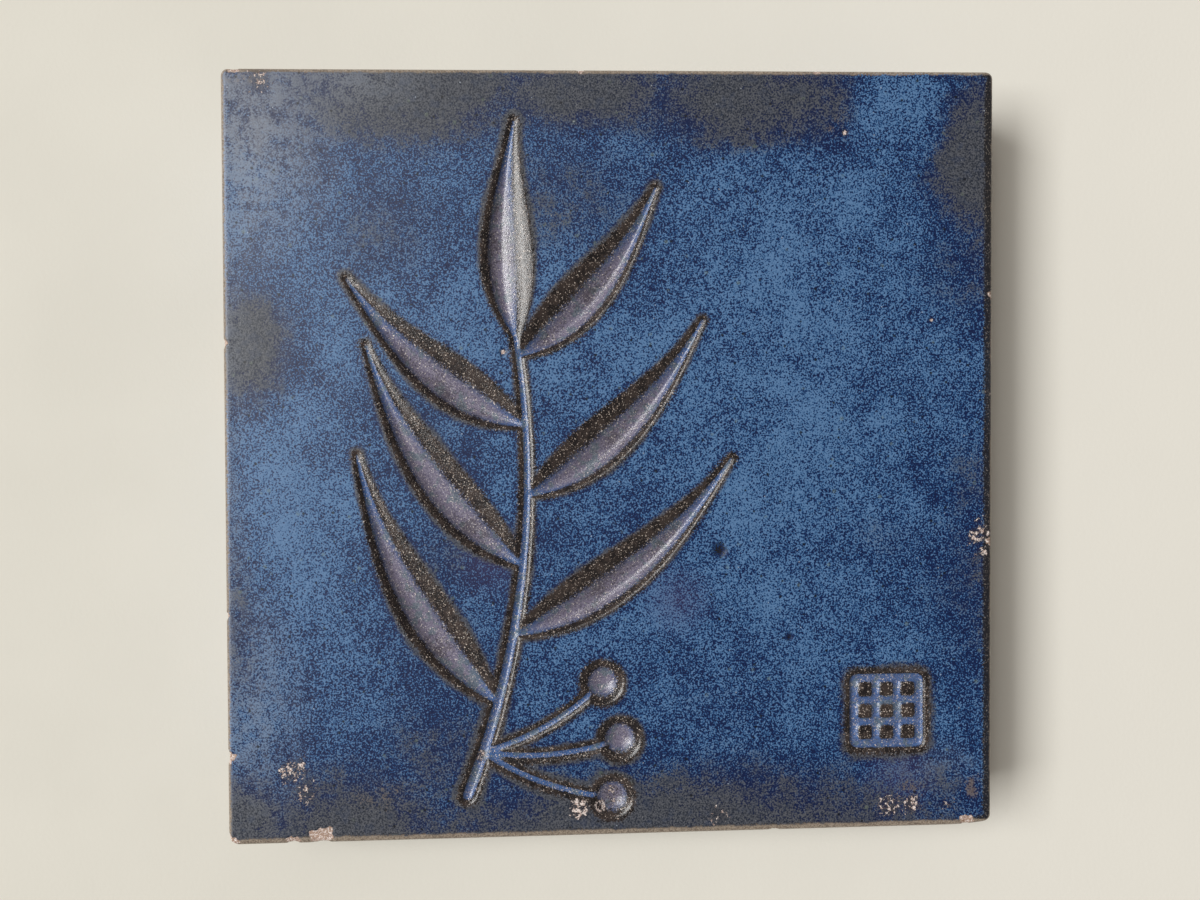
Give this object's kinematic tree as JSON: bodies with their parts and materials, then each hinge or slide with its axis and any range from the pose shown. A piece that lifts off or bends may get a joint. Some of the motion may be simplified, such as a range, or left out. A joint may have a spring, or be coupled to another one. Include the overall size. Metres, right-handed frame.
{
  "type": "ceramic tile",
  "caption": "Thick square stoneware wall tile with a deep blue satin glaze and a carved leafy sprig in low relief.",
  "frame": {"origin": "centre of the flat bed, the back of the tile", "axes": "+Z out of the glazed face, +Y up the face as the tile is hung and as it is pictured, +X to the right of the face"},
  "size_m": [0.15, 0.15, 0.02],
  "materials": {
    "blue_glaze": "satin reactive glaze, dark where it thins over rims and edges"
  },
  "bodies": {
    "root": {"tile": "blue_glaze"}
  },
  "joints": []
}
